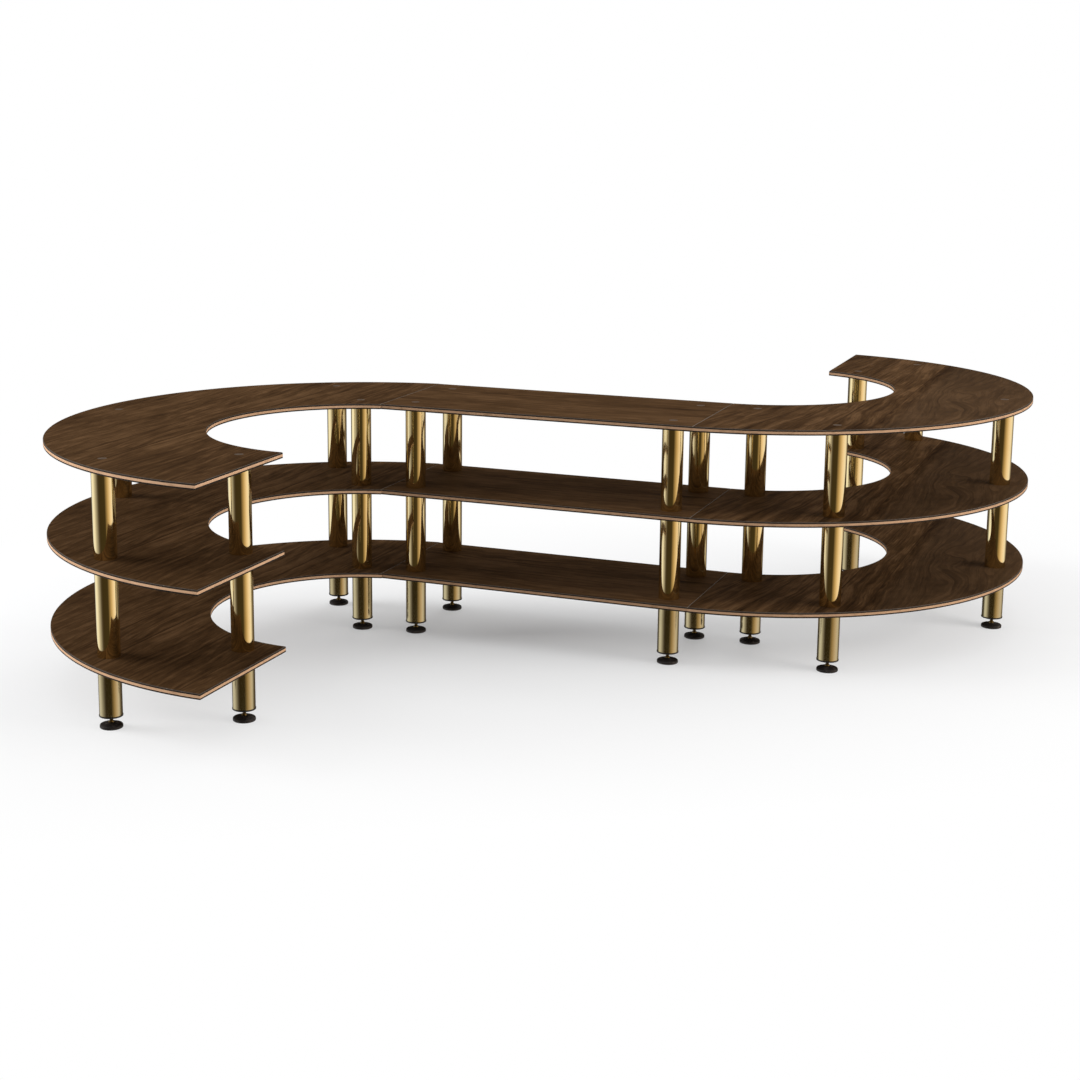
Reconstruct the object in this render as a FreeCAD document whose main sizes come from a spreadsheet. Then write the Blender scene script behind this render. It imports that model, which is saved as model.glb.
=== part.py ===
import FreeCAD, Part
import Sketcher
import math
import os
import re

doc = FreeCAD.newDocument("buffet_serving_station")

# Driving dimensions in millimetres, with the two angles in degrees.
SIZES = {
    # Plan of the shelves. A cut is how far a curved shelf's straight end stands from its arc centre.
    "straight_length": 940,
    "shelf_depth": 430,
    "inner_radius": 395,
    "left_seam_cut": 98,
    "left_free_cut": 2,
    "right_seam_cut": 29,
    "right_free_cut": 146,
    # The right shelf's inner arc has its centre this much nearer the bulge than the outer arc's.
    "right_inner_shift": 24,
    # Heights, from the floor up.
    "foot_gap": 31,
    "leg_length": 140,
    "shelf_thickness": 15,
    "post_length": 240,
    # Posts and legs.
    "tube_diameter": 60,
    "tube_wall": 1.5,
    "post_plate": 5,
    "leg_plate": 8,
    "post_inset": 77,
    "inner_post_from_end": 88,
    "left_post_angle": 60,
    "right_post_angle": 59,
    # Tie rods, and the cap nuts that close them in the top shelf.
    "rod_diameter": 10,
    "rod_clearance": 0.25,
    "rod_thread_clearance": 0.05,
    "nut_head_diameter": 24,
    "nut_head_height": 3,
    "nut_barrel_diameter": 14,
    "nut_barrel_length": 11,
    "nut_thread_depth": 9,
    "nut_clearance": 0.1,
    # End caps of the legs, and the threaded bushes in them.
    "cap_diameter": 62,
    "cap_flange": 4,
    "cap_spigot": 20,
    "cap_clearance": 0.1,
    "bush_diameter": 16,
    "bush_clearance": 0.05,
    # Levelling feet.
    "stem_diameter": 10,
    "stem_length": 58,
    "stem_thread_clearance": 0.05,
    "stem_tip": 1,
    "collar_diameter": 15,
    "collar_height": 3,
    "pivot_diameter": 8,
    "pivot_length": 7,
    "pivot_clearance": 0.05,
    "pivot_end_gap": 0.3,
    "pad_diameter": 60,
    "pad_rim": 9,
    "pad_bevel": 2.5,
    "pad_height": 14,
    "pad_boss_diameter": 18,
    # Dowels across the seams.
    "dowel_diameter": 8,
    "dowel_length": 50,
    "dowel_spacing": 200,
    "dowel_clearance": 0.1,
}

sheet = doc.addObject("Spreadsheet::Sheet", "Sizes")
for row, (alias, size) in enumerate(SIZES.items(), start=1):
    sheet.set(f"A{row}", alias)
    sheet.set(f"B{row}", str(size))
    sheet.setAlias(f"B{row}", alias)
doc.recompute()

SIZE_NAMES = re.compile(r"\b(" + "|".join(SIZES) + r")\b")


def cells(formula):
    """Turn a formula in size names into an expression that reads the sheet."""
    return SIZE_NAMES.sub(r"Sizes.\1", formula)


def value(formula):
    """Work a formula out now, for the first draft of a sketch."""
    return float(sheet.evalExpression(cells(formula)))


def reach(radius, cut):
    """Distance along a straight end from the line through the arc centre to a radius."""
    return f"sqrt(({radius})^2 - ({cut})^2)"


def seam_middle(cut):
    """Distance along a straight end from the arc centre to the middle of the shelf."""
    return f"(({reach(OUTER_RADIUS, cut)} + {reach('inner_radius', cut)}) / 2)"


# Plan: the straight module lies along X, each curved one has its arc centre off a seam.
OUTER_RADIUS = "(inner_radius + shelf_depth)"
LEFT_ARC = ("(left_seam_cut - straight_length / 2)", f"(-{seam_middle('left_seam_cut')})")
RIGHT_ARC = ("(straight_length / 2 - right_seam_cut)", seam_middle("right_seam_cut"))

# The origin is under the middle of the whole plan, so the straight module stands a little off it.
STRAIGHT_X = "((right_seam_cut - left_seam_cut) / 2)"
REAR_END = f"({RIGHT_ARC[1]} + {reach(OUTER_RADIUS, 'right_free_cut')})"
FRONT_END = f"({LEFT_ARC[1]} - {reach(OUTER_RADIUS, 'left_free_cut')})"
STRAIGHT_Y = f"(-({REAR_END} + {FRONT_END}) / 2)"


def from_origin(place):
    """Move a place that was given from the straight module's centre to the origin."""
    return f"({STRAIGHT_X} + {place[0]})", f"({STRAIGHT_Y} + {place[1]})"


CENTRES = {
    "left": from_origin(LEFT_ARC),
    "straight": from_origin(("0", "0")),
    "right": from_origin(RIGHT_ARC),
}

# Heights of the undersides of the legs and shelves.
LEG_Z = "(foot_gap + cap_flange)"
SHELF_Z = {"bottom": f"({LEG_Z} + leg_length)"}
SHELF_Z["middle"] = f"({SHELF_Z['bottom']} + shelf_thickness + post_length)"
SHELF_Z["top"] = f"({SHELF_Z['middle']} + shelf_thickness + post_length)"


def straight_posts():
    """Four places, one inset from each corner of the straight shelf."""
    along = "(straight_length / 2 - post_inset)"
    across = "(shelf_depth / 2 - post_inset)"
    return [(f"{sx}{along}", f"{sy}{across}") for sx in ("-", "") for sy in ("-", "")]


def curved_posts(side, low_cut, high_cut, angle):
    """Three places by the outer edge and one by each inner corner; side is the sign of the bulge in X."""
    outer = f"({OUTER_RADIUS} - post_inset)"
    inner = "(inner_radius + post_inset)"
    low = f"({low_cut} + inner_post_from_end)"
    high = f"({high_cut} + inner_post_from_end)"
    swing = f"{angle} * 1 deg"
    return [
        (f"{side}{low}", f"(-{reach(inner, low)})"),
        (f"{side}{outer} * cos({swing})", f"(-{outer} * sin({swing}))"),
        (f"{side}{outer}", "0"),
        (f"{side}{outer} * cos({swing})", f"{outer} * sin({swing})"),
        (f"{side}{high}", reach(inner, high)),
    ]


LOCAL_POSTS = {
    "left": curved_posts("-", "left_free_cut", "left_seam_cut", "left_post_angle"),
    "straight": straight_posts(),
    "right": curved_posts("", "right_seam_cut", "right_free_cut", "right_post_angle"),
}
POSTS = {
    module: [(f"({CENTRES[module][0]} + {x})", f"({CENTRES[module][1]} + {y})") for x, y in places]
    for module, places in LOCAL_POSTS.items()
}


def sketch_on(body, role):
    """Add a sketch on one of a body's own origin planes."""
    sketch = body.newObject("Sketcher::SketchObject", "Outline")
    plane = [feature for feature in body.Origin.OriginFeatures if feature.Role == role][0]
    sketch.AttachmentSupport = [(plane, "")]
    sketch.MapMode = "FlatFace"
    return sketch


def fix_distance(sketch, direction, geometry, vertex, formula):
    """Hold a vertex at a distance from the sketch's origin, or on its axis where the distance is 0."""
    if formula == "0":
        axis = -2 if direction == "DistanceX" else -1
        sketch.addConstraint(Sketcher.Constraint("PointOnObject", geometry, vertex, axis))
        return
    index = sketch.addConstraint(Sketcher.Constraint(direction, -1, 1, geometry, vertex, value(formula)))
    sketch.setExpression(f"Constraints[{index}]", cells(formula))


def closed_line(sketch, corners):
    """Draw a closed line of straight runs whose corners are held by formulas."""
    points = [FreeCAD.Vector(value(x), value(y), 0) for x, y in corners]
    count = len(points)
    for i in range(count):
        sketch.addGeometry(Part.LineSegment(points[i], points[(i + 1) % count]), False)
    for i in range(count):
        sketch.addConstraint(Sketcher.Constraint("Coincident", i, 2, (i + 1) % count, 1))
    for i, (x, y) in enumerate(corners):
        fix_distance(sketch, "DistanceX", i, 1, x)
        fix_distance(sketch, "DistanceY", i, 1, y)


def turned(name, profile):
    """Turn a profile of (radius, height) corners about Z."""
    body = doc.addObject("PartDesign::Body", name)
    sketch = sketch_on(body, "XZ_Plane")
    closed_line(sketch, profile)
    revolution = body.newObject("PartDesign::Revolution", "Turned")
    revolution.Profile = sketch
    revolution.ReferenceAxis = (sketch, ["V_Axis"])
    revolution.Angle = 360
    return body


def board(name, draw):
    """Pad an outline, which draw puts into a sketch, to the shelf's thickness."""
    body = doc.addObject("PartDesign::Body", name)
    sketch = sketch_on(body, "XY_Plane")
    draw(sketch)
    pad = body.newObject("PartDesign::Pad", "Board")
    pad.Profile = sketch
    pad.setExpression("Length", cells("shelf_thickness"))
    return body


def draw_straight(sketch):
    """Rectangle about the origin."""
    half_length = "straight_length / 2"
    half_depth = "shelf_depth / 2"
    corners = [(-1, -1), (1, -1), (1, 1), (-1, 1)]
    closed_line(sketch, [(f"{sx} * {half_length}", f"{sy} * {half_depth}") for sx, sy in corners])


def draw_curved(sketch, low_cut, high_cut, inner_shift="0"):
    """Ring that bulges to +X, with two straight ends along Y. The outer arc is about the origin, and the
    inner one about a centre on the X axis."""
    arcs = ((OUTER_RADIUS, "0"), ("inner_radius", inner_shift))
    for radius, shift in arcs:
        size, middle = value(radius), value(shift)
        circle = Part.Circle(FreeCAD.Vector(middle, 0, 0), FreeCAD.Vector(0, 0, 1), size)
        low_angle = -math.acos((value(low_cut) - middle) / size)
        high_angle = math.acos((value(high_cut) - middle) / size)
        sketch.addGeometry(Part.ArcOfCircle(circle, low_angle, high_angle), False)
    outer, inner = 0, 1
    for vertex in (1, 2):
        ends = [sketch.getPoint(arc, vertex) for arc in (outer, inner)]
        line = sketch.addGeometry(Part.LineSegment(*ends), False)
        sketch.addConstraint(Sketcher.Constraint("Coincident", line, 1, outer, vertex))
        sketch.addConstraint(Sketcher.Constraint("Coincident", line, 2, inner, vertex))
        sketch.addConstraint(Sketcher.Constraint("Vertical", line))
    for arc, (radius, shift) in enumerate(arcs):
        fix_distance(sketch, "DistanceX", arc, 3, shift)
        fix_distance(sketch, "DistanceY", arc, 3, "0")
        index = sketch.addConstraint(Sketcher.Constraint("Radius", arc, value(radius)))
        sketch.setExpression(f"Constraints[{index}]", cells(radius))
    fix_distance(sketch, "DistanceX", outer, 1, low_cut)
    fix_distance(sketch, "DistanceX", outer, 2, high_cut)


def cylinder(name, radius, height, z="0"):
    """Upright cylinder on the Z axis."""
    solid = doc.addObject("Part::Cylinder", name)
    solid.setExpression("Radius", cells(radius))
    solid.setExpression("Height", cells(height))
    solid.setExpression("Placement.Base.z", cells(z))
    return solid


def put(label, piece, x, y, z, turn=None):
    """Put a copy of a piece at a place worked out by formulas, turned over first where turn is given."""
    copy = doc.addObject("App::Link", label)
    copy.Label = label
    copy.LinkedObject = piece
    if turn:
        copy.Placement = FreeCAD.Placement(FreeCAD.Vector(), turn)
    for axis, formula in zip("xyz", (x, y, z)):
        copy.setExpression(f"Placement.Base.{axis}", cells(formula))
    return copy


def group(label, copies):
    """Keep several separate solids in one node."""
    node = doc.addObject("Part::Compound", label)
    node.Label = label
    node.Links = copies
    return node


# Pieces that repeat, each drawn once about its own axis.
TUBE_R = "tube_diameter / 2"
TUBE_BORE_R = "(tube_diameter / 2 - tube_wall)"
ROD_HOLE_R = "(rod_diameter / 2 + rod_clearance)"
ROD_THREAD_R = "(rod_diameter / 2 + rod_thread_clearance)"

# Post: a tube with a holed plate welded in at each end.
post = turned("post", [
    (ROD_HOLE_R, "0"),
    (TUBE_R, "0"),
    (TUBE_R, "post_length"),
    (ROD_HOLE_R, "post_length"),
    (ROD_HOLE_R, "post_length - post_plate"),
    (TUBE_BORE_R, "post_length - post_plate"),
    (TUBE_BORE_R, "post_plate"),
    (ROD_HOLE_R, "post_plate"),
])

# Leg: a tube that is open below, with a thick threaded plate welded in at the top.
leg = turned("leg", [
    (TUBE_BORE_R, "0"),
    (TUBE_R, "0"),
    (TUBE_R, "leg_length"),
    (ROD_THREAD_R, "leg_length"),
    (ROD_THREAD_R, "leg_length - leg_plate"),
    (TUBE_BORE_R, "leg_length - leg_plate"),
])

# Tie rod: it screws into the leg's plate and ends inside the cap nut.
ROD_START_Z = f"({LEG_Z} + leg_length - leg_plate)"
NUT_Z = f"({SHELF_Z['top']} + shelf_thickness - nut_head_height - nut_barrel_length)"
ROD_LENGTH = f"({NUT_Z} + nut_thread_depth - {ROD_START_Z})"
tie_rod = turned("tie_rod", [
    ("0", "0"),
    ("rod_diameter / 2", "0"),
    ("rod_diameter / 2", ROD_LENGTH),
    ("0", ROD_LENGTH),
])

# Cap nut: a flat head that lies flush in the top shelf, over a barrel with a blind thread.
NUT_TOP = "(nut_barrel_length + nut_head_height)"
cap_nut = turned("cap_nut", [
    (ROD_THREAD_R, "0"),
    ("nut_barrel_diameter / 2", "0"),
    ("nut_barrel_diameter / 2", "nut_barrel_length"),
    ("nut_head_diameter / 2", "nut_barrel_length"),
    ("nut_head_diameter / 2", NUT_TOP),
    ("0", NUT_TOP),
    ("0", "nut_thread_depth"),
    (ROD_THREAD_R, "nut_thread_depth"),
])

# End cap: a flange under the leg's tube, with a spigot that plugs it.
CAP_BORE_R = "(bush_diameter / 2 + bush_clearance)"
SPIGOT_R = f"({TUBE_BORE_R} - cap_clearance)"
end_cap = turned("end_cap", [
    (CAP_BORE_R, "0"),
    ("cap_diameter / 2", "0"),
    ("cap_diameter / 2", "cap_flange"),
    (SPIGOT_R, "cap_flange"),
    (SPIGOT_R, "cap_flange + cap_spigot"),
    (CAP_BORE_R, "cap_flange + cap_spigot"),
])

# Threaded bush: it fills the end cap's bore from end to end.
BUSH_BORE_R = "(stem_diameter / 2 + stem_thread_clearance)"
bush = turned("bush", [
    (BUSH_BORE_R, "0"),
    ("bush_diameter / 2", "0"),
    ("bush_diameter / 2", "cap_flange + cap_spigot"),
    (BUSH_BORE_R, "cap_flange + cap_spigot"),
])

# Stem of a levelling foot: a pivot in the pad, a collar that stands on it, and the screw.
STEM_TOP = "(pivot_length + collar_height + stem_length)"
stem = turned("stem", [
    ("0", "0"),
    ("pivot_diameter / 2", "0"),
    ("pivot_diameter / 2", "pivot_length"),
    ("collar_diameter / 2", "pivot_length"),
    ("collar_diameter / 2", "pivot_length + collar_height"),
    ("stem_diameter / 2", "pivot_length + collar_height"),
    ("stem_diameter / 2", f"{STEM_TOP} - stem_tip"),
    ("stem_diameter / 2 - stem_tip", STEM_TOP),
    ("0", STEM_TOP),
])

# Pad of a levelling foot: a bevelled disc that rises to a boss with a socket for the pivot.
SOCKET_R = "(pivot_diameter / 2 + pivot_clearance)"
SOCKET_Z = "(pad_height - pivot_length - pivot_end_gap)"
pad = turned("pad", [
    ("0", "0"),
    ("pad_diameter / 2 - pad_bevel", "0"),
    ("pad_diameter / 2", "pad_bevel"),
    ("pad_diameter / 2", "pad_rim - pad_bevel"),
    ("pad_diameter / 2 - pad_bevel", "pad_rim"),
    ("pad_boss_diameter / 2", "pad_height"),
    (SOCKET_R, "pad_height"),
    (SOCKET_R, SOCKET_Z),
    ("0", SOCKET_Z),
])

# Dowel, and the drills that make the holes in the shelves.
ALONG_X = FreeCAD.Rotation(FreeCAD.Vector(0, 1, 0), 90)
dowel = cylinder("dowel", "dowel_diameter / 2", "dowel_length", "-dowel_length / 2")
dowel_drill = cylinder(
    "dowel_drill",
    "dowel_diameter / 2 + dowel_clearance",
    "dowel_length + 2 * dowel_clearance",
    "-dowel_length / 2 - dowel_clearance",
)
rod_drill = cylinder("rod_drill", ROD_HOLE_R, "shelf_thickness")
nut_drill = doc.addObject("Part::Fuse", "nut_drill")
nut_drill.Base = cylinder("nut_drill_barrel", "nut_barrel_diameter / 2 + nut_clearance", "shelf_thickness")
nut_drill.Tool = cylinder(
    "nut_drill_head",
    "nut_head_diameter / 2 + nut_clearance",
    "nut_head_height",
    "shelf_thickness - nut_head_height",
)

# Shelf boards before drilling. The left one is drawn as a right one and turned over.
TURNED_OVER = FreeCAD.Rotation(FreeCAD.Vector(0, 1, 0), 180)
boards = {
    "left": board("left_board", lambda sketch: draw_curved(sketch, "left_free_cut", "left_seam_cut")),
    "straight": board("straight_board", draw_straight),
    "right": board("right_board", lambda sketch: draw_curved(
        sketch, "right_seam_cut", "right_free_cut", "right_inner_shift")),
}

SEAM_X = {
    "left": f"({STRAIGHT_X} - straight_length / 2)",
    "right": f"({STRAIGHT_X} + straight_length / 2)",
}
DOWEL_Y = [f"({STRAIGHT_Y} {sign} dowel_spacing / 2)" for sign in "-+"]


def dowel_places(level, seams):
    """Middles of the dowels in the shelves of one level."""
    middle_z = f"({SHELF_Z[level]} + shelf_thickness / 2)"
    return [(SEAM_X[seam], y, middle_z) for seam in seams for y in DOWEL_Y]


def shelf(module, level):
    """Drill one board for its tie rods or cap nuts and for its dowels."""
    label = f"{module}_{level}_shelf"
    centre_x, centre_y = CENTRES[module]
    under = SHELF_Z[level]
    flipped = module == "left"
    blank_z = f"{under} + shelf_thickness" if flipped else under
    turn = TURNED_OVER if flipped else None
    blank = put(f"{label}_blank", boards[module], centre_x, centre_y, blank_z, turn)
    drill = nut_drill if level == "top" else rod_drill
    holes = [put(f"{label}_hole", drill, x, y, under) for x, y in POSTS[module]]
    seams = ("left", "right") if module == "straight" else (module,)
    holes += [put(f"{label}_seam_hole", dowel_drill, *place, ALONG_X) for place in dowel_places(level, seams)]
    node = doc.addObject("Part::Cut", label)
    node.Label = label
    node.Base = blank
    node.Tool = group(f"{label}_holes", holes)
    return node


nodes = []
for module in CENTRES:
    for level in SHELF_Z:
        nodes.append(shelf(module, level))

# What each stack is made of, from the leg up: node name, piece and height of its underside.
STACK = [
    ("leg_end_caps", end_cap, "foot_gap"),
    ("threaded_bushes", bush, "foot_gap"),
    ("legs", leg, LEG_Z),
    ("lower_posts", post, f"{SHELF_Z['bottom']} + shelf_thickness"),
    ("upper_posts", post, f"{SHELF_Z['middle']} + shelf_thickness"),
    ("tie_rods", tie_rod, ROD_START_Z),
    ("cap_nuts", cap_nut, NUT_Z),
]
for module, places in POSTS.items():
    for name, piece, z in STACK:
        label = f"{module}_{name}"
        nodes.append(group(label, [put(f"{label}_copy", piece, x, y, z) for x, y in places]))

# Levelling feet: one pad and one stem under each leg, each a node of its own because each moves.
for module, places in POSTS.items():
    for count, (x, y) in enumerate(places, start=1):
        nodes.append(put(f"{module}_foot_pad_{count}", pad, x, y, "0"))
        nodes.append(put(f"{module}_foot_stem_{count}", stem, x, y, "pad_height - pivot_length"))

dowels = []
for level in SHELF_Z:
    for place in dowel_places(level, SEAM_X):
        dowels.append(put("seam_dowel", dowel, *place, ALONG_X))
nodes.append(group("seam_dowels", dowels))

doc.recompute()

for item in doc.Objects:
    if "Invalid" in item.State or "Error" in item.State:
        raise RuntimeError(f"{item.Label} did not build: {item.State}")

os.makedirs("parts", exist_ok=True)
for node in nodes:
    shape = node.Shape
    if shape.isNull() or not shape.isValid():
        raise RuntimeError(f"{node.Label} has no valid shape")
    shape.exportStep(f"parts/{node.Label}.step")
    print(node.Label, len(shape.Solids), round(shape.Volume))
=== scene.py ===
import math
from functools import partial

import bmesh
import bpy
import numpy as np
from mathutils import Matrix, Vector
from mathutils.geometry import tessellate_polygon


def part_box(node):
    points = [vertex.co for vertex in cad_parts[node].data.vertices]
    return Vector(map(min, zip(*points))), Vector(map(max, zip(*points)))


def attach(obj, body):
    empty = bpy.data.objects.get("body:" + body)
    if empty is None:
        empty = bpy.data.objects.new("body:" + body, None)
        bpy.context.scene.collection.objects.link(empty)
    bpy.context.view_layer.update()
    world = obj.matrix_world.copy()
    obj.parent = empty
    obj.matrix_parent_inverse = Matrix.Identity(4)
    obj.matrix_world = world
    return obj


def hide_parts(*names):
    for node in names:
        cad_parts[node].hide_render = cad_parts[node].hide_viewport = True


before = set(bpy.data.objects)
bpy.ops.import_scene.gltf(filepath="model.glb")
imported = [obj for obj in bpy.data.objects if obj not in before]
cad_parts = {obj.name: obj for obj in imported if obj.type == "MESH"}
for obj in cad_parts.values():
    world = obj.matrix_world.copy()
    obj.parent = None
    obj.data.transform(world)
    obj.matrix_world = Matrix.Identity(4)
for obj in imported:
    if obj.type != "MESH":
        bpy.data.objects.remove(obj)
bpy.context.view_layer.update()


# Levelling pads: a round foot of moulded black rubber under each leg, with a soft rim and a low boss.
# The stem's pivot stands in the boss's socket, so the pad keeps still while the screw turns in the leg.

MILLIMETRE = 0.001
LEGS = {"left": 5, "straight": 4, "right": 5}
EASE_STEPS = 4
ROUND_STEPS = 64
SHARP_TURN = math.radians(40)
SAME_POINT = 0.001 * MILLIMETRE
PAD_SIDE_EASE = 2.6 * MILLIMETRE
PAD_SHOULDER_EASE = 4.0 * MILLIMETRE
PAD_BOSS_EASE = 1.2 * MILLIMETRE
PAD_RIM_HEIGHT = 9 * MILLIMETRE
PAD_BOSS_RADIUS = 9 * MILLIMETRE
SOCKET_RADIUS = 4.05 * MILLIMETRE
SOCKET_FLOOR = 6.7 * MILLIMETRE
SOCKET_EASE = 0.3 * MILLIMETRE
RUBBER_BLACK = (0.014, 0.011, 0.010, 1)
RUBBER_DUST = (0.050, 0.040, 0.034, 1)
RUBBER_GLOSS = 0.35
RUBBER_ROUGHNESS = 0.42
SMUDGE_ROUGHNESS = 0.25
DUST_RANGE = (0.48, 0.75)
PEBBLE_DEPTH = 0.25 * MILLIMETRE
# A noise is given by its features per metre along X, Y and Z, and its octaves of detail.
PEBBLE = ((900, 900, 900), 2.0)
SMUDGE = ((60, 60, 90), 4.0)
NOISE_ROUGHNESS = 0.55


class Shade:
    """A socket in a node tree. Arithmetic on it adds Math nodes, and node() adds any other kind."""

    def __init__(self, tree, socket=None):
        self.tree = tree
        self.socket = socket

    def node(self, kind, settings=None, inputs=None, output=0):
        """Add a node: its settings first, then values or links for its inputs; give one of its outputs."""
        made = self.tree.nodes.new(kind)
        for name, value in (settings or {}).items():
            if name == "stops":
                fill_ramp(made.color_ramp, value)
            else:
                setattr(made, name, value)
        for name, value in (inputs or {}).items():
            if isinstance(value, Shade):
                self.tree.links.new(value.socket, made.inputs[name])
            else:
                made.inputs[name].default_value = value
        return Shade(self.tree, made.outputs[output])

    def math(self, operation, *values):
        """Add a Math node for an operation on values or links."""
        return self.node("ShaderNodeMath", {"operation": operation}, dict(enumerate(values)))

    def sine(self):
        return self.math("SINE", self)

    def __add__(self, other):
        return self.math("ADD", self, other)

    def __radd__(self, other):
        return self.math("ADD", other, self)

    def __sub__(self, other):
        return self.math("SUBTRACT", self, other)

    def __rsub__(self, other):
        return self.math("SUBTRACT", other, self)

    def __mul__(self, other):
        return self.math("MULTIPLY", self, other)

    def __rmul__(self, other):
        return self.math("MULTIPLY", other, self)

    def __truediv__(self, other):
        return self.math("DIVIDE", self, other)

    def __rtruediv__(self, other):
        return self.math("DIVIDE", other, self)

    def __pow__(self, other):
        return self.math("POWER", self, other)

    def __rpow__(self, other):
        return self.math("POWER", other, self)


def fill_ramp(ramp, stops):
    """Give a colour ramp its stops, each a (position, colour) pair in rising order."""
    while len(ramp.elements) < len(stops):
        ramp.elements.new(1)
    for element, (position, colour) in zip(ramp.elements, stops):
        element.position = position
        element.color = colour


def blended(factor, first, second):
    """Mix two colours by a factor."""
    return factor.node("ShaderNodeMix", {"data_type": "RGBA"}, {0: factor, 6: first, 7: second}, output=2)


def stepped(value, low, high):
    """Carry a value smoothly from 0 at low to 1 at high."""
    span = {"Value": value, "From Min": low, "From Max": high}
    return value.node("ShaderNodeMapRange", {"interpolation_type": "SMOOTHSTEP"}, span)


def stretched_noise(place, scales, detail):
    """Noise whose scale differs along X, Y and Z, in features per metre."""
    fitted = place.node("ShaderNodeMapping", None, {"Vector": place, "Scale": scales})
    return place.node("ShaderNodeTexNoise", None, {
        "Vector": fitted, "Scale": 1.0, "Detail": detail, "Roughness": NOISE_ROUGHNESS})


def finish_of(name, **constants):
    """New material with a Principled shader; constants go straight onto its sockets."""
    material = bpy.data.materials.new(name)
    material.use_nodes = True
    tree = material.node_tree
    shader = tree.nodes["Principled BSDF"]
    for socket, value in constants.items():
        shader.inputs[socket.replace("_", " ")].default_value = value
    place = Shade(tree).node("ShaderNodeTexCoord", output="Object")
    return material, shader, place


def feed(shader, socket, shade):
    """Link a worked-out value to one of a shader's sockets."""
    shade.tree.links.new(shade.socket, shader.inputs[socket])


def raised(height, depth):
    """Bump from a height that runs from 0 to 1, with its full depth in metres."""
    return height.node("ShaderNodeBump", None, {"Height": height, "Distance": depth, "Strength": 1.0})


def black_rubber():
    """Moulded rubber: near black, with a fine pebble and a little dust in it."""
    material, shader, place = finish_of("black_rubber", Specular_IOR_Level=RUBBER_GLOSS)
    pebble = stretched_noise(place, *PEBBLE)
    smudge = stretched_noise(place, *SMUDGE)
    dust = stepped(smudge, *DUST_RANGE)
    feed(shader, "Base Color", blended(dust, RUBBER_BLACK, RUBBER_DUST))
    feed(shader, "Roughness", RUBBER_ROUGHNESS + SMUDGE_ROUGHNESS * smudge)
    feed(shader, "Normal", raised(pebble, PEBBLE_DEPTH))
    return material


def axes_of(module):
    """Upright axis (x, y) of each leg of a module, read from the pads under them."""
    boxes = [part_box(f"{module}_foot_pad_{count}") for count in range(1, LEGS[module] + 1)]
    return np.array([((low + high) / 2)[:2] for low, high in boxes])


def eased(corners):
    """Closed outline of corners (across, up, ease). Each corner becomes a parabola that leaves and meets
    its two sides at the ease's distance: corner + ease * ((1 - t)^2 * back + t^2 * on)."""
    corner, ease = np.array(corners)[:, :2], np.array(corners)[:, 2]
    back = np.roll(corner, 1, axis=0) - corner
    onward = np.roll(corner, -1, axis=0) - corner
    back /= np.linalg.norm(back, axis=1, keepdims=True)
    onward /= np.linalg.norm(onward, axis=1, keepdims=True)
    t = np.linspace(0, 1, EASE_STEPS + 1)[None, :, None]
    pull = (1 - t) ** 2 * back[:, None] + t ** 2 * onward[:, None]
    return (corner[:, None] + ease[:, None, None] * pull).reshape(-1, 2)


def grid_faces(rows, columns, wrap_rows):
    """Quads of a grid whose columns always wrap round and whose rows wrap where asked."""
    row = np.arange(rows if wrap_rows else rows - 1)[:, None]
    column = np.arange(columns)[None, :]
    next_row, next_column = (row + 1) % rows, (column + 1) % columns
    corners = [row * columns + column, row * columns + next_column,
               next_row * columns + next_column, next_row * columns + column]
    return np.stack(np.broadcast_arrays(*corners), axis=-1).reshape(-1, 4)


def shown_piece(name, points, faces, materials, face_materials=None, sharp=SHARP_TURN):
    """Mesh object at the origin. Points that coincide are merged, which closes poles, and faces turn
    outwards. Edges that turn by more than the sharp angle stay crisp."""
    mesh = bpy.data.meshes.new(name)
    mesh.from_pydata(points.tolist(), [], faces if isinstance(faces, list) else faces.tolist())
    for material in materials:
        mesh.materials.append(material)
    if face_materials is not None:
        mesh.polygons.foreach_set("material_index", face_materials)
    merged = bmesh.new()
    merged.from_mesh(mesh)
    bmesh.ops.remove_doubles(merged, verts=merged.verts, dist=SAME_POINT)
    bmesh.ops.recalc_face_normals(merged, faces=merged.faces)
    merged.to_mesh(mesh)
    merged.free()
    mesh.polygons.foreach_set("use_smooth", [True] * len(mesh.polygons))
    mesh.set_sharp_from_angle(angle=sharp)
    piece = bpy.data.objects.new(name, mesh)
    bpy.context.scene.collection.objects.link(piece)
    return piece


def turned(name, profile, axes, material, steps=ROUND_STEPS):
    """Lathe surface: each point (r, z) of a closed profile is carried round each upright axis (x, y) to
    (x + r cos a, y + r sin a, z), on a grid of profile points by turns."""
    angle = np.linspace(0, 2 * np.pi, steps, endpoint=False)
    ring = np.stack([np.cos(angle), np.sin(angle)], axis=-1)
    points = np.empty((len(axes), len(profile), steps, 3))
    points[..., :2] = axes[:, None, None] + profile[None, :, None, :1] * ring
    points[..., 2] = profile[None, :, None, 1]
    faces = grid_faces(len(profile), steps, wrap_rows=True)
    offsets = np.arange(len(axes))[:, None, None] * len(profile) * steps
    return shown_piece(name, points.reshape(-1, 3), (faces + offsets).reshape(-1, 4), [material])


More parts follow.
